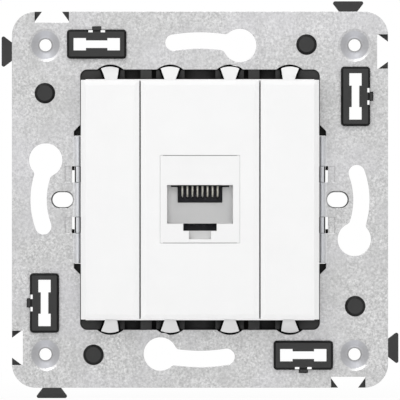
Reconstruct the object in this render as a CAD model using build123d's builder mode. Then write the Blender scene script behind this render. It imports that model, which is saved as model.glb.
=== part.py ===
from build123d import *
import math
import os

# Frame: X to the right, Z up, the front faces -Y. The origin is the plate's centre on its rear face.

# Steel mounting plate
plate_margin = 5.4
plate_corner = 4.5
plate_t = 1.0
window_side_web = 1.125
window_end_web = 0.468
window_corner = 1.3
hook_notch_r = 3.75
hook_notch_reach = 0.94

# Back-bent side flanges of the plate
bend_r = 1.3
flange_span = 23.9
flange_depth = 5.0
relief_w = 1.18
relief_long = 2.25
relief_short = 0.95
bend_slot_in = 0.8
bend_slot_w = 0.75
bend_slot_z = 4.78
bend_slot_h = 3.05
flange_window_depth = 2.6
lance_w = 0.12
coin_gap = 0.45
coin_w = 1.1
coin_depth = 0.2

# Claw slots beside the flanges
claw_web = 0.825
claw_slot_l = 4.35
claw_slot_w = 3.3
claw_rim = 0.25

# Keyholes for wall-box screws
screw_circle_r = 30.0
keyhole_w = 3.1
keyhole_tail_angle = 9.6
keyhole_head_angle = 14.4
keyhole_head_r = 3.15
side_arc_r = 14.6
side_arc_bulge = 0.4
keyhole_blend = 0.9

# Corner screw holes with a pressed dish
corner_hole_inset = 6.3
corner_hole_r = 1.15
dish_r = 2.67
dish_depth = 0.68
dish_lip_w = 0.43
dish_lip_depth = 0.2
dish_slope = 65
dish_back_slope = 35

# Black carrier frame behind and through the plate
carrier_t = 1.6
carrier_clearance = 0.1
rail_w = 0.85
bar_front = 0.6
sleeve_back = 6.0
carrier_hole_margin = 0.8
snap_nose_reach = 1.15
snap_nose_h = 2.95
hook_pocket_depth = 0.8
bar_recess_depth = 1.4
centre_recess_w = 5.8
bar_slit_x = 8.67
bar_slit_w = 0.85
joint_rib_x = 10.15
joint_rib_w = 2.1
joint_rib_rise = 0.35
side_recess_x = 12.7
side_recess_w = 3.0
claw_opening_l = 4.6
claw_opening_w = 4.6
slot_view_z = 5.55

# Accessory sockets on the carrier
socket_x = -19.45
socket_inset = 6.125
socket_l = 11.04
socket_w = 5.35
socket_fit = 0.05
socket_rise = 1.5
socket_corner = 0.55
socket_bevel = 0.35
socket_hole_l = 8.75
socket_end_l = 2.37
socket_end_w = 2.36
socket_mid_w = 1.47
socket_tab_w = 1.47
socket_tab_out = 0.55
socket_slit_w = 0.85
socket_slit_l = 0.47

# Heat stakes that hold the carrier to the plate
stake_inset = 6.2
stake_z = 20.05
stake_head_r = 1.95
stake_flat_r = 1.45
stake_head_t = 0.8
stake_peg_r = 1.2

# Dovetails that join neighbouring plates
dovetail_inset = 7.5
dovetail_root_w = 3.4
dovetail_end_w = 6.4
dovetail_out = 1.95
dovetail_round = 0.35
notch_w = 6.46
notch_depth = 2.06
notch_mouth_w = 3.8
notch_throat = 1.8
notch_relief = 0.15

# White modules
rail_play = 0.05
bar_h = 1.875
module_gap = 0.25
joint_lap = 0.2
front_rise = 7.0
border_w = 0.95
border_drop = 0.25
outer_border_drop = 0.55
cover_wall = 1.2
front_wall = 1.6
blank_back = 5.6
socket_cover_back = 8.5

# Hooks of the modules
hook_shoulder = 2.2
hook_reach = 2.56
hook_root_front = 2.9
hook_tip_front = 1.3
hook_back = 0.1
hook_clearance = 0.35
even_side = [(1.0, 0), (1.78, hook_shoulder)]
outer_side = [(0.94, 0), (1.25, 1.0), (1.76, hook_shoulder)]
inner_side = [(1.25, 0), (1.45, 1.1), (1.6, hook_shoulder)]

# Jack with its stepped port
jack_w = 14.95
jack_h = 16.5
jack_low_trim = 0.16
jack_side_fit = 0.02
jack_end_fit = 0.09
jack_collar = 1.0
jack_collar_back = 0.5
catch_w = 14.0
catch_t = 1.6
catch_rise = 0.8
module_seat = 0.1
jack_wall = 1.1
jack_back = 16.0
port_w = 12.34
port_top = 2.74
port_bottom = -4.51
port_depth = 12.0
latch_w = 6.28
latch_bottom = -5.86
tip_w = 4.08
tip_bottom = -7.41
jack_shelf_t = 1.4

# Contact comb, spring contacts and board
comb_w = 8.3
comb_top = 2.7
comb_bottom = -0.5
comb_front = 4.5
comb_groove = 1.0
comb_slot_w = 11.0
comb_slot_h = 0.3
backing_margin = 0.575
backing_t = 2.4
backing_over = 0.4
peg_x = 2.08
peg_z = -4.35
peg_r = 0.6
peg_l = 0.8
contact_count = 8
contact_pitch = 0.95
contact_wire_r = 0.17
contact_reach = 2.4
contact_top = 2.4
contact_low = 0.6
contact_bend = 0.35
board_front = 12.0
board_t = 1.2
board_fit = 0.15

# Wire terminals at the rear
terminal_aisle = 2.0
terminal_side_margin = 0.3
terminal_end_margin = 0.55
terminal_rise = 6.6
terminal_slot = 0.7
terminal_slot_depth = 5.0
blade_t = 0.4
blade_w = 2.6
blade_l = 5.4
blade_slit = 0.35
blade_slit_l = 3.2
pocket_clearance = 0.05
blade_tail_w = 0.9
blade_tail_drop = 0.8

# Hinged wire cap
cap_gap = 0.3
cap_wall = 1.0
cap_depth = 5.6
cap_side_inset = 0.28
cap_end_inset = 0.35
pivot_back = 1.4
pivot_rise = 1.5
barrel_r = 1.15
pin_r = 0.7
pin_clearance = 0.05
barrel_half = 4.6
hinge_web_half = 0.7
ear_foot = 5.0
ear_gap = 0.2
ear_t = 1.3
cable_mouth_w = 6.0
cable_mouth_h = 3.0

# Values that follow from the sizes above
plate_edge = screw_circle_r + plate_margin
plate_side = 2 * plate_edge
corner_hole_x = plate_edge - corner_hole_inset
socket_z = plate_edge - socket_inset
stake_x = stake_inset - plate_edge
dovetail_place = plate_edge - dovetail_inset
notch_floor_z = plate_edge - notch_depth - notch_relief
side_arc_reach = screw_circle_r + side_arc_bulge
claw_slot_x = side_arc_reach - keyhole_w / 2 - claw_web - claw_slot_l / 2
window_x = claw_slot_x - claw_slot_l / 2 - window_side_web
keyhole_low_z = screw_circle_r * math.cos(math.radians(keyhole_head_angle)) - keyhole_head_r
window_z = keyhole_low_z - hook_notch_reach - window_end_web
window_w = 2 * window_x
window_h = 2 * window_z
module_pitch = window_x - rail_play
module_height = 2 * (window_z - bar_h)
hook_xs = [module_pitch * share for share in (-0.75, -0.25, 0.25, 0.75)]
sleeve_x = window_x - carrier_clearance
sleeve_z = window_z - carrier_clearance
body_z = (module_height - module_gap) / 2
opening_z = body_z + module_gap
opening_x = sleeve_x - rail_w
set_x = module_pitch - module_gap / 2
inner_x = (module_pitch + module_gap) / 2
lap_x = inner_x - joint_lap
bend_end_x = window_x + bend_r
slot_from_x = window_x + bend_slot_in
port_back = port_depth - front_rise
pivot_y = jack_back + pivot_back
pivot_z = jack_h / 2 + pivot_rise
cap_front = jack_back + cap_gap
cap_w = jack_w - 2 * cap_side_inset
cap_h = jack_h - 2 * cap_end_inset
board_w = jack_w - 2 * (jack_wall + board_fit)
board_h = jack_h - 2 * (jack_wall + board_fit)
terminal_w = (board_w - terminal_aisle) / 2 - terminal_side_margin
terminal_h = board_h - 2 * terminal_end_margin
terminal_x = (terminal_aisle + terminal_w) / 2
terminal_pitch = terminal_h / 4
backing_w = jack_w - 2 * (jack_wall + backing_margin)


def level(rise):
    # A sketch plane facing the front, at a height above the plate's rear face
    return Plane.XZ.offset(rise)


def quarter_turns(x, z):
    # The same place on each of the four sides, turning clockwise
    return [Rot(0, 0, -90 * turn) * Pos(x, z) for turn in range(4)]


def four_corners(x, z):
    return [Pos(sx * x, sz * z) for sx in (-1, 1) for sz in (-1, 1)]


def on_circle(radius, degrees):
    # Degrees run clockwise from the top
    angle = math.radians(degrees)
    return radius * math.sin(angle), radius * math.cos(angle)


def keyhole(arc_r, reach, margin=0.0):
    # A bent tail that opens into a round head on the screw circle, drawn for the top side
    head = on_circle(screw_circle_r, keyhole_head_angle)
    centre_z = reach - arc_r
    tail_x = -screw_circle_r * math.sin(math.radians(keyhole_tail_angle))
    neck_x = head[0] - keyhole_head_r / 2
    tail = (tail_x, centre_z + math.sqrt(arc_r**2 - tail_x**2))
    neck = (neck_x, centre_z + math.sqrt(arc_r**2 - neck_x**2))
    with BuildLine() as path:
        ThreePointArc(tail, (0, reach), neck)
    with BuildSketch() as shape:
        SlotArc(path.edge(), keyhole_w)
        with Locations(head):
            Circle(keyhole_head_r)
        necks = [v for v in shape.vertices()
                 if abs((Vector(v) - Vector(*head)).length - keyhole_head_r) < 0.01
                 and (Vector(v) - Vector(*tail)).length > keyhole_w
                 and v.X < head[0]]
        fillet(necks, keyhole_blend)
        if margin:
            offset(amount=margin)
    return shape.sketch


top_keyhole = keyhole(screw_circle_r, screw_circle_r)
side_keyhole = keyhole(side_arc_r, side_arc_reach)
wide_side_keyhole = keyhole(side_arc_r, side_arc_reach, carrier_hole_margin)
wide_top_keyhole = keyhole(screw_circle_r, screw_circle_r, carrier_hole_margin)


# Mounting plate
with BuildPart() as mounting_plate:
    with BuildSketch(level(0)):
        RectangleRounded(plate_side, plate_side, plate_corner)
        RectangleRounded(window_w, window_h, window_corner, mode=Mode.SUBTRACT)
        with Locations(*[Pos(x, sz * (window_z + hook_notch_reach - hook_notch_r))
                         for x in hook_xs for sz in (-1, 1)]):
            Circle(hook_notch_r, mode=Mode.SUBTRACT)
        for side in (-1, 1):
            with Locations((side * (window_x + bend_r / 2), 0)):
                Rectangle(bend_r, flange_span, mode=Mode.SUBTRACT)
            for sz in (-1, 1):
                flange_end = flange_span / 2
                with BuildLine():
                    Polyline((side * (window_x - 0.1), sz * flange_end),
                             (side * (window_x + relief_w), sz * flange_end),
                             (side * (window_x + relief_w), sz * (flange_end + relief_short)),
                             (side * (window_x - 0.1), sz * (flange_end + relief_long)),
                             close=True)
                make_face(mode=Mode.SUBTRACT)
        for turn in range(4):
            hole = side_keyhole if turn % 2 else top_keyhole
            add(Rot(0, 0, -90 * turn) * hole, mode=Mode.SUBTRACT)
        with Locations(*quarter_turns(socket_x, socket_z)):
            RectangleRounded(socket_l + 2 * socket_fit, socket_w + 2 * socket_fit,
                             socket_corner + socket_fit, mode=Mode.SUBTRACT)
        with Locations(*quarter_turns(socket_x, socket_z + (socket_w + socket_tab_out) / 2)):
            Rectangle(socket_tab_w + 2 * carrier_clearance, socket_tab_out + 2 * carrier_clearance,
                      mode=Mode.SUBTRACT)
        with Locations(*quarter_turns(stake_x, stake_z)):
            Circle(stake_peg_r + carrier_clearance, mode=Mode.SUBTRACT)
        with Locations(*quarter_turns(-dovetail_place, plate_edge - notch_depth / 2)):
            Rectangle(notch_w, notch_depth, mode=Mode.SUBTRACT)
    extrude(amount=plate_t)
    # side flanges, bent back at the window
    with BuildSketch(Plane.XY):
        for side in (-1, 1):
            with BuildLine():
                outer = Line((side * bend_end_x, -plate_t), (side * bend_end_x, 0))
                inner_arc = ThreePointArc(
                    (side * bend_end_x, 0),
                    (side * (bend_end_x - (bend_r - plate_t) * math.sin(math.pi / 4)),
                     (bend_r - plate_t) * (1 - math.cos(math.pi / 4))),
                    (side * (bend_end_x - bend_r + plate_t), bend_r - plate_t))
                Line(inner_arc @ 1, (side * (window_x + plate_t), flange_depth))
                Line((side * (window_x + plate_t), flange_depth), (side * window_x, flange_depth))
                Line((side * window_x, flange_depth), (side * window_x, bend_r - plate_t))
                ThreePointArc(
                    (side * window_x, bend_r - plate_t),
                    (side * (bend_end_x - bend_r * math.sin(math.pi / 4)),
                     bend_r - plate_t - bend_r * math.cos(math.pi / 4)),
                    outer @ 0)
            make_face()
    extrude(amount=flange_span / 2, both=True)
    # claw slots with a bevelled rim, which runs into the start of the bends
    with BuildSketch(level(plate_t)):
        with Locations((-claw_slot_x, 0), (claw_slot_x, 0)):
            SlotOverall(claw_slot_l - 2 * claw_rim, claw_slot_w - 2 * claw_rim)
    extrude(amount=-(plate_t + bend_r), mode=Mode.SUBTRACT)
    with BuildSketch(level(plate_t)):
        with Locations((-claw_slot_x, 0), (claw_slot_x, 0)):
            SlotOverall(claw_slot_l, claw_slot_w)
    extrude(amount=-claw_rim, taper=45, mode=Mode.SUBTRACT)
    # slots over the bend and windows in the flange for the carrier's snap noses
    with BuildSketch(level(plate_t)):
        with Locations(*four_corners(slot_from_x + bend_slot_w / 2, bend_slot_z)):
            Rectangle(bend_slot_w, bend_slot_h)
    extrude(amount=-(plate_t + bend_r), mode=Mode.SUBTRACT)
    with BuildSketch(level(-(bend_r - plate_t))):
        with Locations(*four_corners(window_x + plate_t / 2, bend_slot_z)):
            Rectangle(2 * plate_t, bend_slot_h)
    extrude(amount=-flange_window_depth, mode=Mode.SUBTRACT)
    # shallow coined rectangles beside the slots, and the lanced ends of the straps
    with BuildSketch(level(plate_t)):
        with Locations(*four_corners(bend_end_x + coin_gap + coin_w / 2, bend_slot_z)):
            Rectangle(coin_w, bend_slot_h)
    extrude(amount=-coin_depth, mode=Mode.SUBTRACT)
    with BuildSketch(level(plate_t)):
        for end in (-1, 1):
            strap_end_z = bend_slot_z + end * bend_slot_h / 2
            with Locations(*four_corners(slot_from_x - bend_slot_in / 2, strap_end_z)):
                Rectangle(bend_slot_in + lance_w, lance_w)
    extrude(amount=-plate_t, mode=Mode.SUBTRACT)
    # pressed dishes round the corner holes, each with a soft lip
    with BuildSketch(level(0)):
        with Locations(*four_corners(corner_hole_x, corner_hole_x)):
            Circle(dish_r + dish_lip_w / 2)
    extrude(amount=-dish_depth, taper=dish_back_slope)
    with BuildSketch(level(plate_t)):
        with Locations(*four_corners(corner_hole_x, corner_hole_x)):
            Circle(dish_r + dish_lip_w)
    extrude(amount=-dish_lip_depth, taper=math.degrees(math.atan(dish_lip_w / dish_lip_depth)),
            mode=Mode.SUBTRACT)
    with BuildSketch(level(plate_t - dish_lip_depth)):
        with Locations(*four_corners(corner_hole_x, corner_hole_x)):
            Circle(dish_r)
    extrude(amount=-(dish_depth - dish_lip_depth), taper=dish_slope, mode=Mode.SUBTRACT)
    with BuildSketch(level(plate_t)):
        with Locations(*four_corners(corner_hole_x, corner_hole_x)):
            Circle(corner_hole_r)
    extrude(amount=-(plate_t + dish_depth), mode=Mode.SUBTRACT)
mounting_plate.part.label = "mounting_plate"


def hook_outline(left_side, right_side):
    # Front view of a hook at x = 0 on the top side; each side is a list of half widths and heights
    left = [(-half, body_z + rise) for half, rise in left_side]
    right = [(half, body_z + rise) for half, rise in right_side]
    with BuildSketch() as outline:
        with BuildLine():
            Polyline((left[0][0], body_z - cover_wall / 2), *left)
            ThreePointArc(left[-1], (0, body_z + hook_reach), right[-1])
            Polyline(*reversed(right), (right[0][0], body_z - cover_wall / 2))
            Line((right[0][0], body_z - cover_wall / 2), (left[0][0], body_z - cover_wall / 2))
        make_face()
    return outline.sketch


def snap_hook(outline):
    # A wedge that slopes back from the module's wall to its tip
    with BuildPart() as hook:
        with BuildSketch(level(hook_back)):
            add(outline)
        extrude(amount=hook_root_front - hook_back)
        with BuildSketch(Plane.YZ):
            with BuildLine():
                Polyline((-hook_back, body_z - cover_wall), (-hook_root_front, body_z - cover_wall),
                         (-hook_root_front, body_z), (-hook_tip_front, body_z + hook_reach),
                         (-hook_back, body_z + hook_reach), close=True)
            make_face()
        extrude(amount=module_pitch, both=True, mode=Mode.INTERSECT)
    return hook.part


even_outline = hook_outline(even_side, even_side)
left_outline = hook_outline(outer_side, inner_side)
even_hook = snap_hook(even_outline)
left_hook = snap_hook(left_outline)
even_low_hook = mirror(even_hook, about=Plane.XY)
left_low_hook = mirror(left_hook, about=Plane.XY)
even_pocket = offset(even_outline, hook_clearance)
left_pocket = offset(left_outline, hook_clearance)
hook_pockets = [left_pocket, even_pocket, even_pocket, Rot(0, 180, 0) * left_pocket]


def accessory_hole():
    # Dog-bone opening of one accessory socket
    with BuildSketch() as shape:
        Rectangle(socket_hole_l, socket_mid_w)
        with GridLocations(socket_hole_l - socket_end_l, 1, 2, 1):
            Rectangle(socket_end_l, socket_end_w)
    return shape.sketch


def dovetail_tongue():
    # Front view of the tongue on the left side, with rounded ends
    with BuildSketch() as shape:
        with BuildLine():
            Polyline((-plate_edge, dovetail_place - dovetail_root_w / 2),
                     (-plate_edge, dovetail_place + dovetail_root_w / 2),
                     (-plate_edge - dovetail_out, dovetail_place + dovetail_end_w / 2),
                     (-plate_edge - dovetail_out, dovetail_place - dovetail_end_w / 2),
                     close=True)
        make_face()
        fillet(shape.vertices().group_by(Axis.X)[0], dovetail_round)
    return shape.sketch


tongue = dovetail_tongue()


# Carrier frame, one black moulding
with BuildPart() as carrier_frame:
    with BuildSketch(level(0)):
        RectangleRounded(plate_side, plate_side, plate_corner)
        Rectangle(2 * opening_x, 2 * opening_z, mode=Mode.SUBTRACT)
        for turn in range(4):
            wide_hole = wide_side_keyhole if turn % 2 else wide_top_keyhole
            add(Rot(0, 0, -90 * turn) * wide_hole, mode=Mode.SUBTRACT)
        with Locations(*four_corners(corner_hole_x, corner_hole_x)):
            Circle(dish_r + carrier_hole_margin, mode=Mode.SUBTRACT)
        for side in (-1, 1):
            flange_slot_out = window_x + plate_t + carrier_clearance
            slot_view_out = slot_from_x + bend_slot_w + carrier_clearance
            with Locations((side * (sleeve_x + flange_slot_out) / 2, 0)):
                Rectangle(flange_slot_out - sleeve_x, flange_span + 2 * carrier_clearance,
                          mode=Mode.SUBTRACT)
            with Locations((side * (sleeve_x + slot_view_out) / 2, 0)):
                Rectangle(slot_view_out - sleeve_x, 2 * slot_view_z, mode=Mode.SUBTRACT)
            with Locations((side * claw_slot_x, 0)):
                Rectangle(claw_opening_l, claw_opening_w, mode=Mode.SUBTRACT)
        for turn in range(4):
            with BuildLine(Plane.XY.rotated((0, 0, -90 * turn))):
                Polyline((-dovetail_place - notch_mouth_w / 2, plate_edge + carrier_t),
                         (-dovetail_place - notch_mouth_w / 2, plate_edge),
                         (-dovetail_place - notch_w / 2, plate_edge - notch_throat),
                         (-dovetail_place - notch_w / 2, notch_floor_z),
                         (-dovetail_place + notch_w / 2, notch_floor_z),
                         (-dovetail_place + notch_w / 2, plate_edge - notch_throat),
                         (-dovetail_place + notch_mouth_w / 2, plate_edge),
                         (-dovetail_place + notch_mouth_w / 2, plate_edge + carrier_t),
                         close=True)
            make_face(mode=Mode.SUBTRACT)
    extrude(amount=-carrier_t)
    # room for the inside of the plate's bends
    with BuildSketch(level(0)):
        for side in (-1, 1):
            with Locations((side * (sleeve_x + bend_end_x + carrier_clearance) / 2, 0)):
                Rectangle(bend_end_x + carrier_clearance - sleeve_x, flange_span + 2 * carrier_clearance)
    extrude(amount=-(bend_r - plate_t + carrier_clearance), mode=Mode.SUBTRACT)
    # sleeve that passes through the window and guides the modules
    with BuildSketch(level(bar_front)):
        RectangleRounded(2 * sleeve_x, 2 * sleeve_z, window_corner - carrier_clearance)
        Rectangle(2 * opening_x, 2 * opening_z, mode=Mode.SUBTRACT)
    extrude(amount=-(bar_front + sleeve_back))
    bar_z = (opening_z + sleeve_z) / 2
    bar_cut = sleeve_z - opening_z
    with BuildSketch(level(bar_front)):
        with Locations(*four_corners(joint_rib_x, bar_z)):
            Rectangle(joint_rib_w, bar_cut)
    extrude(amount=joint_rib_rise)
    with BuildSketch(level(bar_front)):
        for x, pocket in zip(hook_xs, hook_pockets):
            add(Pos(x, 0) * pocket)
            add(Pos(x, 0) * Rot(180, 0, 0) * pocket)
    extrude(amount=-(bar_front + hook_pocket_depth), mode=Mode.SUBTRACT)
    with BuildSketch(level(bar_front)):
        with Locations((0, bar_z), (0, -bar_z)):
            Rectangle(centre_recess_w, bar_cut)
        with Locations(*four_corners(bar_slit_x, bar_z)):
            Rectangle(bar_slit_w, bar_cut)
        with Locations(*four_corners(side_recess_x, bar_z)):
            Rectangle(side_recess_w, bar_cut)
    extrude(amount=-(bar_front + bar_recess_depth), mode=Mode.SUBTRACT)
    # snap noses that reach into the flange windows
    with BuildSketch(level(-(bend_r - plate_t) - carrier_clearance)):
        with Locations(*four_corners(sleeve_x + (snap_nose_reach - rail_w / 2) / 2, bend_slot_z)):
            Rectangle(snap_nose_reach + rail_w / 2, snap_nose_h)
    extrude(amount=-(flange_window_depth - 2 * carrier_clearance))
    # accessory sockets
    with BuildSketch(level(0)):
        with Locations(*quarter_turns(socket_x, socket_z)):
            RectangleRounded(socket_l, socket_w, socket_corner)
    extrude(amount=plate_t + socket_rise)
    rims = carrier_frame.faces().filter_by(Plane.XZ).group_by(Axis.Y)[0].edges()
    chamfer(rims, socket_bevel)
    with BuildSketch(level(plate_t + socket_rise - socket_bevel)):
        with Locations(*quarter_turns(socket_x, socket_z + (socket_w + socket_tab_out) / 2)):
            Rectangle(socket_tab_w, socket_tab_out)
    extrude(amount=-(plate_t + socket_rise - socket_bevel))
    with BuildSketch(level(plate_t + socket_rise)):
        for place in quarter_turns(socket_x, socket_z):
            add(place * accessory_hole())
    extrude(amount=-(plate_t + socket_rise + carrier_t), mode=Mode.SUBTRACT)
    with BuildSketch(level(plate_t + socket_rise)):
        for place in quarter_turns(socket_x, socket_z + (socket_w - socket_slit_l) / 2):
            with Locations(place):
                with GridLocations(socket_tab_w + socket_slit_w, 1, 2, 1):
                    Rectangle(socket_slit_w, socket_slit_l)
    extrude(amount=-(plate_t + socket_rise + carrier_t), mode=Mode.SUBTRACT)
    # stake pegs through the plate, with their formed heads
    with BuildSketch(level(0)):
        with Locations(*quarter_turns(stake_x, stake_z)):
            Circle(stake_peg_r)
    extrude(amount=plate_t)
    with BuildSketch(level(plate_t)):
        with Locations(*quarter_turns(stake_x, stake_z)):
            Circle(stake_head_r)
    extrude(amount=stake_head_t,
            taper=math.degrees(math.atan((stake_head_r - stake_flat_r) / stake_head_t)))
    # dovetail tongues
    with BuildSketch(level(plate_t)):
        for turn in range(4):
            add(Rot(0, 0, -90 * turn) * tongue)
    extrude(amount=-(plate_t + carrier_t))
carrier_frame.part.label = "carrier_frame"


# Left blank, a hollow cover with a bevelled front
with BuildPart() as left_blank:
    with BuildSketch(level(bar_front + module_seat)):
        with Locations((-(set_x + inner_x) / 2, 0)):
            Rectangle(set_x - inner_x, 2 * body_z)
    extrude(amount=front_rise - border_drop - bar_front - module_seat)
    with BuildSketch(level(front_rise - border_drop)):
        with Locations((-(set_x + inner_x) / 2, 0)):
            Rectangle(set_x - inner_x, 2 * body_z)
    with BuildSketch(level(front_rise)):
        with Locations((-(set_x + inner_x) / 2, 0)):
            Rectangle(set_x - inner_x - 2 * border_w, 2 * body_z - 2 * border_w)
    loft()
    # the border along the outer side is steeper
    with BuildSketch(Plane.XY):
        with BuildLine():
            Polyline((-set_x, -(front_rise - outer_border_drop)), (border_w - set_x, -front_rise),
                     (-set_x, -front_rise), close=True)
        make_face()
    extrude(amount=body_z, both=True, mode=Mode.SUBTRACT)
    # the skirt laps behind the socket cover's edge
    with BuildSketch(level(bar_front + module_seat)):
        with Locations((-(opening_x - module_seat + lap_x) / 2, 0)):
            Rectangle(opening_x - module_seat - lap_x, 2 * body_z)
    extrude(amount=-(bar_front + module_seat + blank_back))
    with BuildSketch(level(-blank_back)):
        with Locations((-(opening_x - module_seat + inner_x) / 2, 0)):
            Rectangle(opening_x - module_seat - inner_x - 2 * cover_wall, 2 * (body_z - cover_wall))
    extrude(amount=blank_back + front_rise - front_wall, mode=Mode.SUBTRACT)
    with Locations((hook_xs[0], 0)):
        add(left_hook)
        add(left_low_hook)
left_blank.part.label = "left_blank"


# Right blank
with BuildPart() as right_blank:
    mirror(left_blank.part, about=Plane.YZ)
right_blank.part.label = "right_blank"


# Socket cover, the wide middle module with an aperture for the jack
cover_x = (module_pitch - module_gap) / 2
with BuildPart() as socket_cover:
    with BuildSketch(level(-socket_cover_back)):
        Rectangle(2 * cover_x, 2 * body_z)
    extrude(amount=socket_cover_back + front_rise - border_drop)
    with BuildSketch(level(front_rise - border_drop)):
        Rectangle(2 * cover_x, 2 * body_z)
    with BuildSketch(level(front_rise)):
        Rectangle(2 * (cover_x - border_w), 2 * (body_z - border_w))
    loft()
    # room for the blanks' skirts
    with BuildSketch(level(-socket_cover_back)):
        with Locations((cover_x - joint_lap / 2, 0), (joint_lap / 2 - cover_x, 0)):
            Rectangle(joint_lap, 2 * body_z)
    extrude(amount=socket_cover_back + bar_front + module_seat + module_gap, mode=Mode.SUBTRACT)
    with BuildSketch(level(-socket_cover_back)):
        Rectangle(2 * (cover_x - cover_wall), 2 * (body_z - cover_wall))
    extrude(amount=socket_cover_back + front_rise - front_wall, mode=Mode.SUBTRACT)
    with BuildSketch(level(-jack_collar_back)):
        Rectangle(jack_w + 2 * jack_collar, jack_h + 2 * jack_collar)
    extrude(amount=jack_collar_back + front_rise - front_wall)
    with BuildSketch(level(-socket_cover_back)):
        with Locations((0, jack_low_trim / 2)):
            Rectangle(jack_w + 2 * jack_side_fit, jack_h - jack_low_trim + 2 * jack_end_fit)
    extrude(amount=socket_cover_back + front_rise, mode=Mode.SUBTRACT)
    with Locations((hook_xs[1], 0), (hook_xs[2], 0)):
        add(even_hook)
        add(even_low_hook)
socket_cover.part.label = "socket_cover"


# Jack housing with the stepped port, a rear chamber and hinge ears
ear_x = barrel_half + ear_gap + ear_t / 2
ear_r = pivot_rise
with BuildPart() as jack_housing:
    with BuildSketch(level(front_rise)):
        with Locations((0, jack_low_trim / 2)):
            Rectangle(jack_w, jack_h - jack_low_trim)
    extrude(amount=-(front_rise + jack_back))
    with BuildSketch(level(front_rise)):
        with Locations((0, (port_top + port_bottom) / 2)):
            Rectangle(port_w, port_top - port_bottom)
    extrude(amount=-port_depth, mode=Mode.SUBTRACT)
    with BuildSketch(level(front_rise)):
        with Locations((0, (port_bottom + latch_bottom) / 2)):
            Rectangle(latch_w, port_bottom - latch_bottom)
    extrude(amount=-(port_depth + jack_shelf_t), mode=Mode.SUBTRACT)
    with BuildSketch(level(front_rise)):
        with Locations((0, (port_bottom + tip_bottom) / 2)):
            Rectangle(tip_w, port_bottom - tip_bottom)
    extrude(amount=-port_depth, mode=Mode.SUBTRACT)
    with BuildSketch(level(-jack_back)):
        Rectangle(jack_w - 2 * jack_wall, jack_h - 2 * jack_wall)
    extrude(amount=jack_back - port_back - jack_shelf_t, mode=Mode.SUBTRACT)
    with BuildSketch(level(-board_front)):
        Rectangle(jack_w - 2 * jack_wall, jack_h - 2 * jack_wall)
        Rectangle(board_w - jack_shelf_t, board_h - jack_shelf_t, mode=Mode.SUBTRACT)
    extrude(amount=jack_shelf_t)
    with BuildSketch(level(-port_back)):
        with Locations((0, (comb_top + comb_bottom) / 2)):
            Rectangle(comb_w + 2 * pocket_clearance, comb_top - comb_bottom + 2 * pocket_clearance)
        with Locations((0, comb_top - comb_slot_h / 2)):
            Rectangle(comb_slot_w, comb_slot_h)
    extrude(amount=-jack_shelf_t, mode=Mode.SUBTRACT)
    # blind holes for the comb's pegs, open to the latch way
    with BuildSketch(level(-(port_back + jack_shelf_t))):
        with Locations((-peg_x, peg_z), (peg_x, peg_z)):
            Circle(peg_r + pocket_clearance)
    extrude(amount=peg_l, mode=Mode.SUBTRACT)
    with BuildSketch(level(-jack_collar_back - pocket_clearance)):
        with Locations((0, jack_h / 2), (0, -jack_h / 2)):
            Rectangle(catch_w, 2 * catch_rise)
    extrude(amount=-catch_t)
    for side in (-1, 1):
        with BuildSketch(Plane.YZ.offset(side * ear_x)):
            with BuildLine():
                Polyline((pivot_y - ear_foot, jack_h / 2 - jack_wall),
                         (pivot_y - ear_foot, jack_h / 2),
                         (pivot_y - ear_r, pivot_z + ear_r),
                         (pivot_y, pivot_z + ear_r),
                         (pivot_y, pivot_z - ear_r),
                         (jack_back, jack_h / 2),
                         (jack_back, jack_h / 2 - jack_wall),
                         close=True)
            make_face()
            with Locations((pivot_y, pivot_z)):
                Circle(ear_r)
                Circle(pin_r + pin_clearance, mode=Mode.SUBTRACT)
        extrude(amount=ear_t / 2, both=True)
jack_housing.part.label = "jack_housing"


# Black comb that carries the spring contacts
contact_xs = [contact_pitch * (i - (contact_count - 1) / 2) for i in range(contact_count)]
comb_height = comb_top - comb_bottom
with BuildPart() as contact_block:
    with BuildSketch(level(-comb_front)):
        with Locations((0, (comb_top + comb_bottom) / 2)):
            Rectangle(comb_w, comb_height)
    extrude(amount=-(board_front - comb_front))
    # backing plate behind the port's wall, which closes the latch way
    with BuildSketch(level(-(port_back + jack_shelf_t + pocket_clearance))):
        with Locations((0, (comb_top + latch_bottom) / 2)):
            Rectangle(backing_w, comb_top - latch_bottom + 2 * backing_over)
    extrude(amount=-backing_t)
    with BuildSketch(level(-(port_back + jack_shelf_t + pocket_clearance))):
        with Locations((-peg_x, peg_z), (peg_x, peg_z)):
            Circle(peg_r)
    extrude(amount=peg_l)
    with BuildSketch(level(-comb_front)):
        with Locations(*[(x, comb_top + backing_over) for x in contact_xs]):
            Rectangle(2 * (contact_wire_r + pocket_clearance),
                      2 * (comb_top + backing_over - contact_top + contact_wire_r + pocket_clearance))
    extrude(amount=-(board_front - comb_front), mode=Mode.SUBTRACT)
    with BuildSketch(level(-comb_front)):
        with Locations(*[(x, (comb_top + contact_low) / 2) for x in contact_xs]):
            Rectangle(2 * (contact_wire_r + pocket_clearance),
                      comb_top - contact_low + 4 * contact_wire_r)
    extrude(amount=-comb_groove, mode=Mode.SUBTRACT)
contact_block.part.label = "contact_block"


def spring_contact(x):
    # A bent wire from the board, forward over the comb and back down into its groove
    with BuildPart() as contact:
        with BuildLine(Plane.YZ.offset(x)) as route:
            FilletPolyline((board_front + board_t, contact_top),
                           (comb_front - contact_reach, contact_top),
                           (comb_front + comb_groove / 2, contact_low),
                           radius=contact_bend)
        with BuildSketch(Plane(origin=route.line @ 0, z_dir=route.line % 0)):
            Circle(contact_wire_r)
        sweep(path=route.line)
    return contact.part


contacts = [spring_contact(x) for x in contact_xs]
for number, contact in enumerate(contacts, start=1):
    contact.label = f"contact_{number}"


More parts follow.
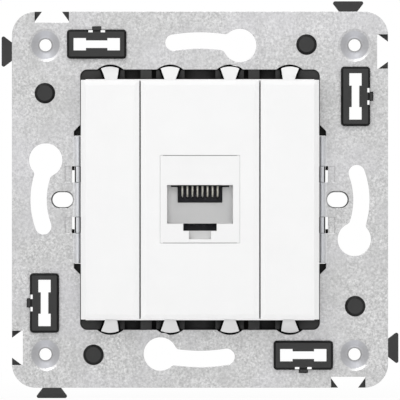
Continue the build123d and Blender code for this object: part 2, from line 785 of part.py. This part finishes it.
# Circuit board between the contacts and the wire terminals
terminal_zs = [terminal_pitch * (i - 1.5) for i in range(4)]
blade_places = [(side * terminal_x, z) for side in (-1, 1) for z in terminal_zs]
with BuildPart() as circuit_board:
    with BuildSketch(level(-board_front)):
        Rectangle(board_w, board_h)
        with Locations(*[(x, contact_top) for x in contact_xs]):
            Circle(contact_wire_r + pocket_clearance, mode=Mode.SUBTRACT)
        with Locations(*[(x, z - blade_tail_drop) for x, z in blade_places]):
            Rectangle(blade_t + 2 * pocket_clearance, blade_tail_w + 2 * pocket_clearance,
                      mode=Mode.SUBTRACT)
    extrude(amount=-board_t)
circuit_board.part.label = "circuit_board"


def terminal_block(side):
    # A slotted block: wires lie across the slots, blades stand in the pockets
    board_rear = board_front + board_t
    with BuildPart() as block:
        with BuildSketch(level(-board_rear)):
            with Locations((side * terminal_x, 0)):
                Rectangle(terminal_w, terminal_h)
        extrude(amount=-terminal_rise)
        with BuildSketch(level(-(board_rear + terminal_rise))):
            with Locations(*[(side * terminal_x, z) for z in terminal_zs]):
                Rectangle(terminal_w, terminal_slot)
        extrude(amount=terminal_slot_depth, mode=Mode.SUBTRACT)
        with BuildSketch(level(-board_rear)):
            with Locations(*[(side * terminal_x, z) for z in terminal_zs]):
                Rectangle(blade_t + 2 * pocket_clearance, blade_w + 2 * pocket_clearance)
        extrude(amount=-terminal_rise, mode=Mode.SUBTRACT)
    return block.part


terminal_block_left = terminal_block(-1)
terminal_block_left.label = "terminal_block_left"
terminal_block_right = terminal_block(1)
terminal_block_right.label = "terminal_block_right"


def wire_blade(x, z):
    # A forked blade with a tail through the board
    with BuildPart() as blade:
        with BuildSketch(Plane.YZ.offset(x)):
            board_rear = board_front + board_t
            with Locations((board_rear + blade_l / 2, z)):
                Rectangle(blade_l, blade_w)
            with Locations((board_rear - board_t / 2, z - blade_tail_drop)):
                Rectangle(board_t, blade_tail_w)
            with Locations((board_rear + blade_l - blade_slit_l / 2, z)):
                Rectangle(blade_slit_l, blade_slit, mode=Mode.SUBTRACT)
        extrude(amount=blade_t / 2, both=True)
    return blade.part


wire_blades = [wire_blade(x, z) for x, z in blade_places]
for number, blade in enumerate(wire_blades, start=1):
    blade.label = f"wire_blade_{number}"


# Wire cap, hinged on the housing's ears
with BuildPart() as wire_cap:
    with BuildSketch(level(-cap_front)):
        RectangleRounded(cap_w, cap_h, cap_wall)
    extrude(amount=-cap_depth)
    with BuildSketch(level(-cap_front)):
        Rectangle(cap_w - 2 * cap_wall, cap_h - 2 * cap_wall)
    extrude(amount=-(cap_depth - cap_wall), mode=Mode.SUBTRACT)
    with BuildSketch(level(-cap_front)):
        with Locations((0, -cap_h / 2)):
            Rectangle(cable_mouth_w, 3 * cap_wall)
    extrude(amount=-cable_mouth_h, mode=Mode.SUBTRACT)
    with BuildSketch(Plane.YZ):
        with Locations((pivot_y, pivot_z)):
            Circle(barrel_r)
        with Locations((pivot_y, (pivot_z + cap_h / 2 - cap_wall) / 2)):
            Rectangle(2 * hinge_web_half, pivot_z - cap_h / 2 + cap_wall)
    extrude(amount=barrel_half, both=True)
    with BuildSketch(Plane.YZ):
        with Locations((pivot_y, pivot_z)):
            Circle(pin_r)
    extrude(amount=ear_x + ear_t / 2, both=True)
wire_cap.part.label = "wire_cap"


# Written parts
os.makedirs("parts", exist_ok=True)
export_step(mounting_plate.part, "parts/mounting_plate.step")
export_step(carrier_frame.part, "parts/carrier_frame.step")
export_step(left_blank.part, "parts/left_blank.step")
export_step(right_blank.part, "parts/right_blank.step")
export_step(socket_cover.part, "parts/socket_cover.step")
export_step(jack_housing.part, "parts/jack_housing.step")
export_step(contact_block.part, "parts/contact_block.step")
export_step(circuit_board.part, "parts/circuit_board.step")
export_step(terminal_block_left, "parts/terminal_block_left.step")
export_step(terminal_block_right, "parts/terminal_block_right.step")
export_step(wire_cap.part, "parts/wire_cap.step")
for contact in contacts:
    export_step(contact, f"parts/{contact.label}.step")
for blade in wire_blades:
    export_step(blade, f"parts/{blade.label}.step")
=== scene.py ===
import math

import bpy
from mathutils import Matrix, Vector


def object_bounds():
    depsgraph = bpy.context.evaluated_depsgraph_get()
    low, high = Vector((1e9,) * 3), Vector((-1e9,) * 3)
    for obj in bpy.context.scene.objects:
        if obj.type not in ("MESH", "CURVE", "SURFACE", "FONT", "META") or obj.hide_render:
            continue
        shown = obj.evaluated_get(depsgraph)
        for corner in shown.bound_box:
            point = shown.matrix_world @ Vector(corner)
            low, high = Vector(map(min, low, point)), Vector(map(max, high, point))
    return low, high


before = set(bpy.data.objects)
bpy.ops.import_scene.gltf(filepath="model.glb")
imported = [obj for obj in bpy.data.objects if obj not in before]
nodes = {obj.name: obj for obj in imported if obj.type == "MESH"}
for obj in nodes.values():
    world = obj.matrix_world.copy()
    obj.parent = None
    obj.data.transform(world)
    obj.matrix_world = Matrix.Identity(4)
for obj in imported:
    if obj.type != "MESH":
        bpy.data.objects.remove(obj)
cad_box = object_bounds()

MM = 0.001

# Places on the steel plate that its finish follows, in metres from the plate's centre
FOLD_X = 23.15 * MM
FOLD_HALF_WIDTH = 0.75 * MM
FOLD_HALF_HEIGHT = 11.9 * MM
FOLD_BACK = 0.4 * MM
FOLD_OUTWARD = 4 * MM
CORNER_HOLE = 29.1 * MM
HOLE_WALL = (1.2 * MM, 1.5 * MM)
DISH_RIM = (2.6 * MM, 2.75 * MM)

# Edge rounding by modifiers, in millimetres
COVER_EDGE = 0.07
HOUSING_EDGE = 0.04
COMB_EDGE = 0.05
TERMINAL_EDGE = 0.08
CAP_EDGE = 0.12
BLADE_EDGE = 0.04
WELD_DISTANCE = 0.002 * MM
ROUNDING_SEGMENTS = 2
ROUNDING_ANGLE = math.radians(35)

# Studio. FLOOR_LIFT is the glow near the part and far from it, and where the rise starts and ends.
FLOOR_REACH = 1.2
FLOOR_COLOUR = (0.92, 0.92, 0.92, 1)
FLOOR_LIFT = (0.95, 1.0, 0.04, 0.25)
WHITE = (1, 1, 1, 1)
WORLD_STRENGTH = 0.42
CAMERA_DISTANCE = 2.0
FRAME_WIDTH = 75.3 * MM
SENSOR_WIDTH = 36.0
CAMERA_SETBACK = 1.0 * MM
CAMERA_HEIGHT = -0.06 * MM


# Shader helpers. Textures use object coordinates, which are the part's own frame in metres.
class Shader:
    def __init__(self, name, roughness=0.5, metallic=0.0, specular=0.5):
        self.material = bpy.data.materials.new(name)
        self.material.use_nodes = True
        self.tree = self.material.node_tree
        self.body = self.tree.nodes["Principled BSDF"]
        self.body.inputs["Roughness"].default_value = roughness
        self.body.inputs["Metallic"].default_value = metallic
        self.body.inputs["Specular IOR Level"].default_value = specular
        self.coordinates = self.add("ShaderNodeTexCoord")
        self.place = self.coordinates.outputs["Object"]

    def add(self, kind, **inputs):
        made = self.tree.nodes.new(kind)
        for key, value in inputs.items():
            made.inputs[key.replace("_", " ")].default_value = value
        return made

    def link(self, source, target):
        self.tree.links.new(source, target)

    def stretched(self, scale):
        mapping = self.add("ShaderNodeMapping", Scale=scale)
        self.link(self.place, mapping.inputs["Vector"])
        return mapping.outputs["Vector"]

    def noise(self, size, detail=3.0, roughness=0.5, distortion=0.0, place=None):
        made = self.add("ShaderNodeTexNoise", Scale=1 / size, Detail=detail, Roughness=roughness,
                        Distortion=distortion)
        self.link(place or self.place, made.inputs["Vector"])
        return made.outputs["Fac"]

    def cells(self, size):
        made = self.add("ShaderNodeTexVoronoi", Scale=1 / size)
        self.link(self.place, made.inputs["Vector"])
        return made.outputs["Distance"]

    def maths(self, operation, *values):
        made = self.tree.nodes.new("ShaderNodeMath")
        made.operation = operation
        for target, value in zip(made.inputs, values):
            if isinstance(value, (int, float)):
                target.default_value = value
            else:
                self.link(value, target)
        return made.outputs[0]

    def length(self, vector):
        made = self.add("ShaderNodeVectorMath")
        made.operation = "LENGTH"
        self.link(vector, made.inputs[0])
        return made.outputs["Value"]

    def axis(self, source, letter):
        split = self.add("ShaderNodeSeparateXYZ")
        self.link(source, split.inputs[0])
        return split.outputs[letter]

    def facing(self):
        # 1 where the surface looks to the front or the back, 0 where it is a wall
        return self.maths("ABSOLUTE", self.axis(self.coordinates.outputs["Normal"], "Y"))

    def spread(self, source, low, high, start=0.3, end=0.7):
        made = self.add("ShaderNodeMapRange", From_Min=start, From_Max=end, To_Min=low, To_Max=high)
        self.link(source, made.inputs["Value"])
        return made.outputs["Result"]

    def blend(self, factor, first, second, mode="MIX"):
        made = self.tree.nodes.new("ShaderNodeMix")
        made.data_type = "RGBA"
        made.blend_type = mode
        for key, kind, value in (("Factor", "VALUE", factor), ("A", "RGBA", first),
                                 ("B", "RGBA", second)):
            target = [s for s in made.inputs if s.name == key and s.type == kind][0]
            if isinstance(value, (float, tuple)):
                target.default_value = value
            else:
                self.link(value, target)
        return [s for s in made.outputs if s.type == "RGBA"][0]

    def bump(self, height, depth, strength=1.0, after=None):
        made = self.add("ShaderNodeBump", Strength=strength, Distance=depth)
        self.link(height, made.inputs["Height"])
        if after:
            self.link(after, made.inputs["Normal"])
        return made.outputs["Normal"]

    def rounded(self, radius):
        made = self.add("ShaderNodeBevel", Radius=radius)
        made.samples = 6
        return made.outputs["Normal"]

    def finish(self, colour, roughness, normal):
        for value, key in ((colour, "Base Color"), (roughness, "Roughness"), (normal, "Normal")):
            self.link(value, self.body.inputs[key])
        return self.material


def grey(value, tint=(0, 0, 0)):
    # A colour from screen values of 0 to 255, turned to linear light
    out = []
    for shift in tint:
        share = (value + shift) / 255
        out.append(share / 12.92 if share <= 0.04045 else ((share + 0.055) / 1.055) ** 2.4)
    return (*out, 1.0)


def zinc_spangle(s, fine):
    # Fine grains over soft cloudy patches, with a faint cool cast here and there
    grains = s.cells(0.8 * MM)
    patches = s.noise(7 * MM, detail=4.0, roughness=0.6, distortion=0.4)
    tints = s.noise(13 * MM, detail=2.0)
    base = s.blend(s.spread(fine, 0.0, 1.0, 0.36, 0.64), grey(176), grey(238))
    base = s.blend(s.spread(grains, 0.0, 0.2, 0.1, 0.6), base, grey(168))
    base = s.blend(s.spread(patches, 0.0, 0.5, 0.35, 0.65), base, grey(190))
    return s.blend(s.spread(tints, 0.0, 0.35, 0.45, 0.7), base, grey(218, (0, -1, 4)))


def flange_fold(s):
    # 1 on the bends of the side flanges, but not on their faces that look away from the middle
    across = s.axis(s.place, "X")
    outward = s.maths("MULTIPLY", s.axis(s.coordinates.outputs["Normal"], "X"), across)
    at_fold = s.maths("COMPARE", s.maths("ABSOLUTE", across), FOLD_X, FOLD_HALF_WIDTH)
    for limit in (s.maths("COMPARE", s.axis(s.place, "Z"), 0.0, FOLD_HALF_HEIGHT),
                  s.maths("LESS_THAN", s.axis(s.place, "Y"), FOLD_BACK),
                  s.maths("LESS_THAN", outward, FOLD_OUTWARD)):
        at_fold = s.maths("MULTIPLY", at_fold, limit)
    return at_fold


def from_corner_hole(s):
    # Vector from the axis of the nearest corner hole, mirrored into the upper right corner
    corner = s.add("ShaderNodeCombineXYZ")
    for letter in "XZ":
        off_axis = s.maths("ABSOLUTE", s.axis(s.place, letter))
        s.link(s.maths("SUBTRACT", off_axis, CORNER_HOLE), corner.inputs[letter])
    return corner.outputs[0]


def dish_painted_reflection(s, from_hole, radius):
    # Painted reflection: cool grey, darker to the left and right where the cone's sides would
    # mirror darker surroundings, with painted shade on the hole wall
    beside = s.maths("ABSOLUTE", s.maths("DIVIDE", s.axis(from_hole, "X"), radius))
    reflected_tone = s.blend(s.spread(beside, 0.0, 1.0, 0.25, 0.95), grey(194, (-2, -1, 5)),
                     grey(162, (0, 0, 3)))
    return s.blend(s.spread(radius, 1.0, 0.0, *HOLE_WALL), reflected_tone, grey(120))


def galvanised_steel():
    s = Shader("galvanised_steel", metallic=1.0)
    fine = s.noise(0.42 * MM, detail=4.0, roughness=0.75)
    base = zinc_spangle(s, fine)
    facing = s.facing()
    at_fold = flange_fold(s)
    # walls and slopes darken towards grey 96, away from the bends: the bare cut edges' own duller
    # steel together with painted shade
    edge_dullness_and_shade = s.maths("MULTIPLY", s.spread(facing, 0.8, 0.0, 0.3, 0.93),
                      s.maths("SUBTRACT", 1.0, at_fold))
    base = s.blend(edge_dullness_and_shade, base, grey(96))
    # painted light: the flange bends are paled towards grey 252, most where they turn away from the
    # front and least at the flat, to lift their shade; they are also made matt
    painted_fold_light = s.maths("MULTIPLY", at_fold, s.spread(facing, 1.0, 0.3, 0.8, 1.0))
    base = s.blend(s.maths("MULTIPLY", painted_fold_light, 0.95), base, grey(252, (-4, -2, 2)))
    # the pressed dishes of the corner holes, up to their lips, get the painted reflection and
    # painted shade
    from_hole = from_corner_hole(s)
    radius = s.length(from_hole)
    dished = s.spread(radius, 1.0, 0.0, *DISH_RIM)
    base = s.blend(s.maths("MULTIPLY", dished, 0.85), base, dish_painted_reflection(s, from_hole, radius))
    matt = s.maths("MAXIMUM", painted_fold_light, dished)
    s.link(s.spread(matt, 1.0, 0.1, 0.0, 1.0), s.body.inputs["Metallic"])
    rough = s.spread(s.noise(1.6 * MM, detail=4.0), 0.34, 0.52)
    normal = s.bump(fine, 0.012 * MM, 0.5, s.rounded(0.1 * MM))
    normal = s.bump(s.noise(4 * MM, detail=2.0), 0.03 * MM, 0.4, normal)
    return s.finish(base, rough, normal)


def moulded_plastic(name, dark, light, rough, grain, specular, corner_shade=None, slope_shade=None):
    # Injection-moulded plastic with a fine spark-eroded grain and soft handling marks, and
    # optionally painted shade in corners and on slopes.
    # The corner shade is given as (colour, reach in mm, share of open sky where shut, share where
    # clear), the slope shade as a colour.
    s = Shader(name, specular=specular)
    fine = s.noise(grain, detail=3.0, roughness=0.6)
    wide = s.noise(7 * MM, detail=3.0)
    base = s.blend(s.spread(wide, 0.0, 1.0), dark, light)
    if corner_shade:
        # painted shade: the colour darkens in corners that the light hardly reaches
        colour, reach, shut, clear = corner_shade
        open_share = s.add("ShaderNodeAmbientOcclusion", Distance=reach * MM)
        open_share.samples = 8
        painted_corner_shade = s.spread(open_share.outputs["AO"], 1.0, 0.0, shut, clear)
        base = s.blend(painted_corner_shade, base, colour)
    if slope_shade:
        # painted shade: bevels and conical rims are painted darker than the faces and the walls
        facing = s.facing()
        painted_slope_shade = s.maths("MULTIPLY", s.spread(facing, 0.0, 0.9, 0.2, 0.4),
                          s.spread(facing, 1.0, 0.0, 0.88, 0.97))
        base = s.blend(painted_slope_shade, base, slope_shade)
    gloss = s.spread(s.noise(2.5 * MM, detail=5.0, roughness=0.6), *rough)
    normal = s.bump(fine, 0.008 * MM, 0.5, s.rounded(0.12 * MM))
    return s.finish(base, gloss, normal)


def gold_contact():
    # Flash gold given as a non-metal whose pale, near-white colour is a painted reflection that
    # makes the contacts read bright; duller where the plug has rubbed along the wire
    s = Shader("gold_contact", metallic=0.0)
    rub = s.noise(0.6 * MM, detail=3.0, place=s.stretched((1, 0.2, 1)))
    base = s.blend(s.spread(rub, 0.0, 1.0), grey(250, (0, -3, -18)), grey(254, (0, -2, -10)))
    return s.finish(base, s.spread(rub, 0.2, 0.4), s.bump(rub, 0.004 * MM, 0.4))


def tinned_blade():
    # Tin with fine drawing marks along the blade
    s = Shader("tinned_blade", metallic=1.0)
    drawn = s.noise(0.3 * MM, detail=4.0, place=s.stretched((1, 0.12, 1)))
    base = s.blend(s.spread(drawn, 0.0, 1.0), grey(186, (0, 0, 3)), grey(216))
    return s.finish(base, s.spread(drawn, 0.25, 0.45), s.bump(drawn, 0.004 * MM, 0.5))


def solder_mask():
    # Green lacquer over woven glass cloth
    s = Shader("solder_mask", specular=0.5)
    weave_x = s.add("ShaderNodeTexWave", Scale=1 / (3.2 * MM))
    weave_z = s.add("ShaderNodeTexWave", Scale=1 / (3.2 * MM))
    weave_z.bands_direction = "Z"
    s.link(s.place, weave_x.inputs["Vector"])
    s.link(s.place, weave_z.inputs["Vector"])
    weave = s.blend(0.5, weave_x.outputs["Color"], weave_z.outputs["Color"])
    cloudy = s.noise(1.5 * MM, detail=3.0)
    base = s.blend(s.spread(cloudy, 0.0, 1.0), (0.012, 0.11, 0.05, 1), (0.02, 0.16, 0.075, 1))
    base = s.blend(0.12, base, weave, "OVERLAY")
    return s.finish(base, s.spread(cloudy, 0.28, 0.42), s.bump(weave, 0.01 * MM, 0.3))


steel = galvanised_steel()
# black, white and jack plastics get painted shade in their corners and gaps (grey 4 and grey 60),
# and the black also on its slopes (grey 8)
black = moulded_plastic("black_plastic", grey(54), grey(60), (0.45, 0.62), 0.12 * MM, 0.2,
                        corner_shade=(grey(4), 2.2, 0.34, 0.6), slope_shade=grey(8))
white = moulded_plastic("white_plastic", grey(242), grey(244), (0.3, 0.42), 0.16 * MM, 0.4,
                        corner_shade=(grey(60), 0.7, 0.2, 0.42))
jack_white = moulded_plastic("jack_plastic", grey(240), grey(242), (0.34, 0.46), 0.14 * MM, 0.4,
                             corner_shade=(grey(60), 0.7, 0.2, 0.42))
comb_black = moulded_plastic("comb_plastic", grey(26, (0, 0, 5)), grey(31, (0, 0, 5)),
                             (0.4, 0.55), 0.1 * MM, 0.3)
terminal_white = moulded_plastic("terminal_plastic", grey(226, (0, 0, -4)),
                                 grey(232, (0, 0, -3)), (0.35, 0.5), 0.14 * MM, 0.4)
cap_white = moulded_plastic("cap_plastic", grey(232), grey(238), (0.38, 0.5), 0.16 * MM, 0.4)
gold = gold_contact()
blade = tinned_blade()
board = solder_mask()

# Material, slot name and edge rounding of each node
finishes = {
    "mounting_plate": (steel, "galvanised_steel", 0.0),
    "carrier_frame": (black, "black_plastic", 0.0),
    "left_blank": (white, "white_plastic", COVER_EDGE),
    "right_blank": (white, "white_plastic", COVER_EDGE),
    "socket_cover": (white, "white_plastic", COVER_EDGE),
    "jack_housing": (jack_white, "jack_plastic", HOUSING_EDGE),
    "contact_block": (comb_black, "black_plastic", COMB_EDGE),
    "circuit_board": (board, "board", 0.0),
    "terminal_block_left": (terminal_white, "terminal_plastic", TERMINAL_EDGE),
    "terminal_block_right": (terminal_white, "terminal_plastic", TERMINAL_EDGE),
    "wire_cap": (cap_white, "jack_plastic", CAP_EDGE),
}
for name in nodes:
    if name.startswith("contact_") and name not in finishes:
        finishes[name] = (gold, "gold_contacts", 0.0)
    elif name.startswith("wire_blade_"):
        finishes[name] = (blade, "tinned_blades", BLADE_EDGE)


def dress(name, material, edge):
    # New finish on a CAD node, with its edges rounded by modifiers and its mesh as it was
    node = nodes[name]
    node.data.materials.clear()
    node.data.materials.append(material)
    weld = node.modifiers.new("weld", "WELD")
    weld.merge_threshold = WELD_DISTANCE
    if edge:
        rounding = node.modifiers.new("rounding", "BEVEL")
        rounding.width = edge * MM
        rounding.segments = ROUNDING_SEGMENTS
        rounding.limit_method = "ANGLE"
        rounding.angle_limit = ROUNDING_ANGLE
        rounding.use_clamp_overlap = False
        rounding.miter_outer = "MITER_ARC"


for name, (material, slot, edge) in finishes.items():
    dress(name, material, edge)


# Floor and backdrop: white to the camera and in reflections, and the floor keeps a soft shadow
def ray_share(tree):
    path = tree.nodes.new("ShaderNodeLightPath")
    total = path.outputs["Is Camera Ray"]
    for key in ("Is Glossy Ray", "Is Transmission Ray"):
        added = tree.nodes.new("ShaderNodeMath")
        added.operation = "MAXIMUM"
        tree.links.new(total, added.inputs[0])
        tree.links.new(path.outputs[key], added.inputs[1])
        total = added.outputs[0]
    return total


def mix_shaders(tree, share, first, second, result):
    # result shows first where share is 0 and second where it is 1
    mixed = tree.nodes.new("ShaderNodeMixShader")
    for source, target in zip((share, first.outputs[0], second.outputs[0]), mixed.inputs):
        tree.links.new(source, target)
    tree.links.new(mixed.outputs[0], result.inputs["Surface"])


floor_z = cad_box[0].z
floor_mesh = bpy.data.meshes.new("floor")
floor_corners = [(across * FLOOR_REACH, along * FLOOR_REACH, floor_z)
                 for across, along in ((-1, -1), (1, -1), (1, 1), (-1, 1))]
floor_mesh.from_pydata(floor_corners, [], [(0, 1, 2, 3)])
floor = bpy.data.objects.new("floor", floor_mesh)
bpy.context.scene.collection.objects.link(floor)
floor_look = Shader("floor", roughness=0.8, specular=0.1)
floor_look.body.inputs["Base Color"].default_value = FLOOR_COLOUR
glow = floor_look.add("ShaderNodeEmission", Strength=1.0)
# a little of the floor's own shade stays close to the part, and none far from it
lift = floor_look.spread(floor_look.length(floor_look.place), *FLOOR_LIFT)
glow_share = floor_look.maths("MULTIPLY", ray_share(floor_look.tree), lift)
mix_shaders(floor_look.tree, glow_share, floor_look.body, glow,
            floor_look.tree.nodes["Material Output"])
floor_mesh.materials.append(floor_look.material)

world = bpy.data.worlds.new("studio")
bpy.context.scene.world = world
world.use_nodes = True
world.node_tree.nodes.clear()


def background(strength):
    made = world.node_tree.nodes.new("ShaderNodeBackground")
    made.inputs["Strength"].default_value = strength
    made.inputs["Color"].default_value = WHITE
    return made


mix_shaders(world.node_tree, ray_share(world.node_tree), background(WORLD_STRENGTH),
            background(1.0), world.node_tree.nodes.new("ShaderNodeOutputWorld"))


def lamp(name, position, size, power, mirrored=True):
    # A square soft box aimed at the part. One that isn't mirrored leaves no glare on metal.
    data = bpy.data.lights.new(name, "AREA")
    data.shape = "SQUARE"
    data.size = size
    data.energy = power
    made = bpy.data.objects.new(name, data)
    bpy.context.scene.collection.objects.link(made)
    made.location = position
    made.rotation_euler = (-Vector(position)).to_track_quat("-Z", "Y").to_euler()
    made.visible_glossy = mirrored


lamp("front", (0.0, -1.9, 0.12), 0.3, 9.5, mirrored=False)
lamp("key", (-0.22, -0.85, 0.72), 0.5, 4.0)
lamp("back", (0.3, 0.9, 0.5), 0.8, 2.6)

# Camera: straight at the plate's front face, from far away with a long lens
camera_data = bpy.data.cameras.new("camera")
camera_data.sensor_width = SENSOR_WIDTH
camera_data.lens = SENSOR_WIDTH * CAMERA_DISTANCE / FRAME_WIDTH
camera = bpy.data.objects.new("camera", camera_data)
bpy.context.scene.collection.objects.link(camera)
camera.location = (0, -CAMERA_DISTANCE - CAMERA_SETBACK, CAMERA_HEIGHT)
camera.rotation_euler = (math.radians(90), 0, 0)
bpy.context.scene.camera = camera
bpy.context.scene.view_settings.view_transform = "Standard"
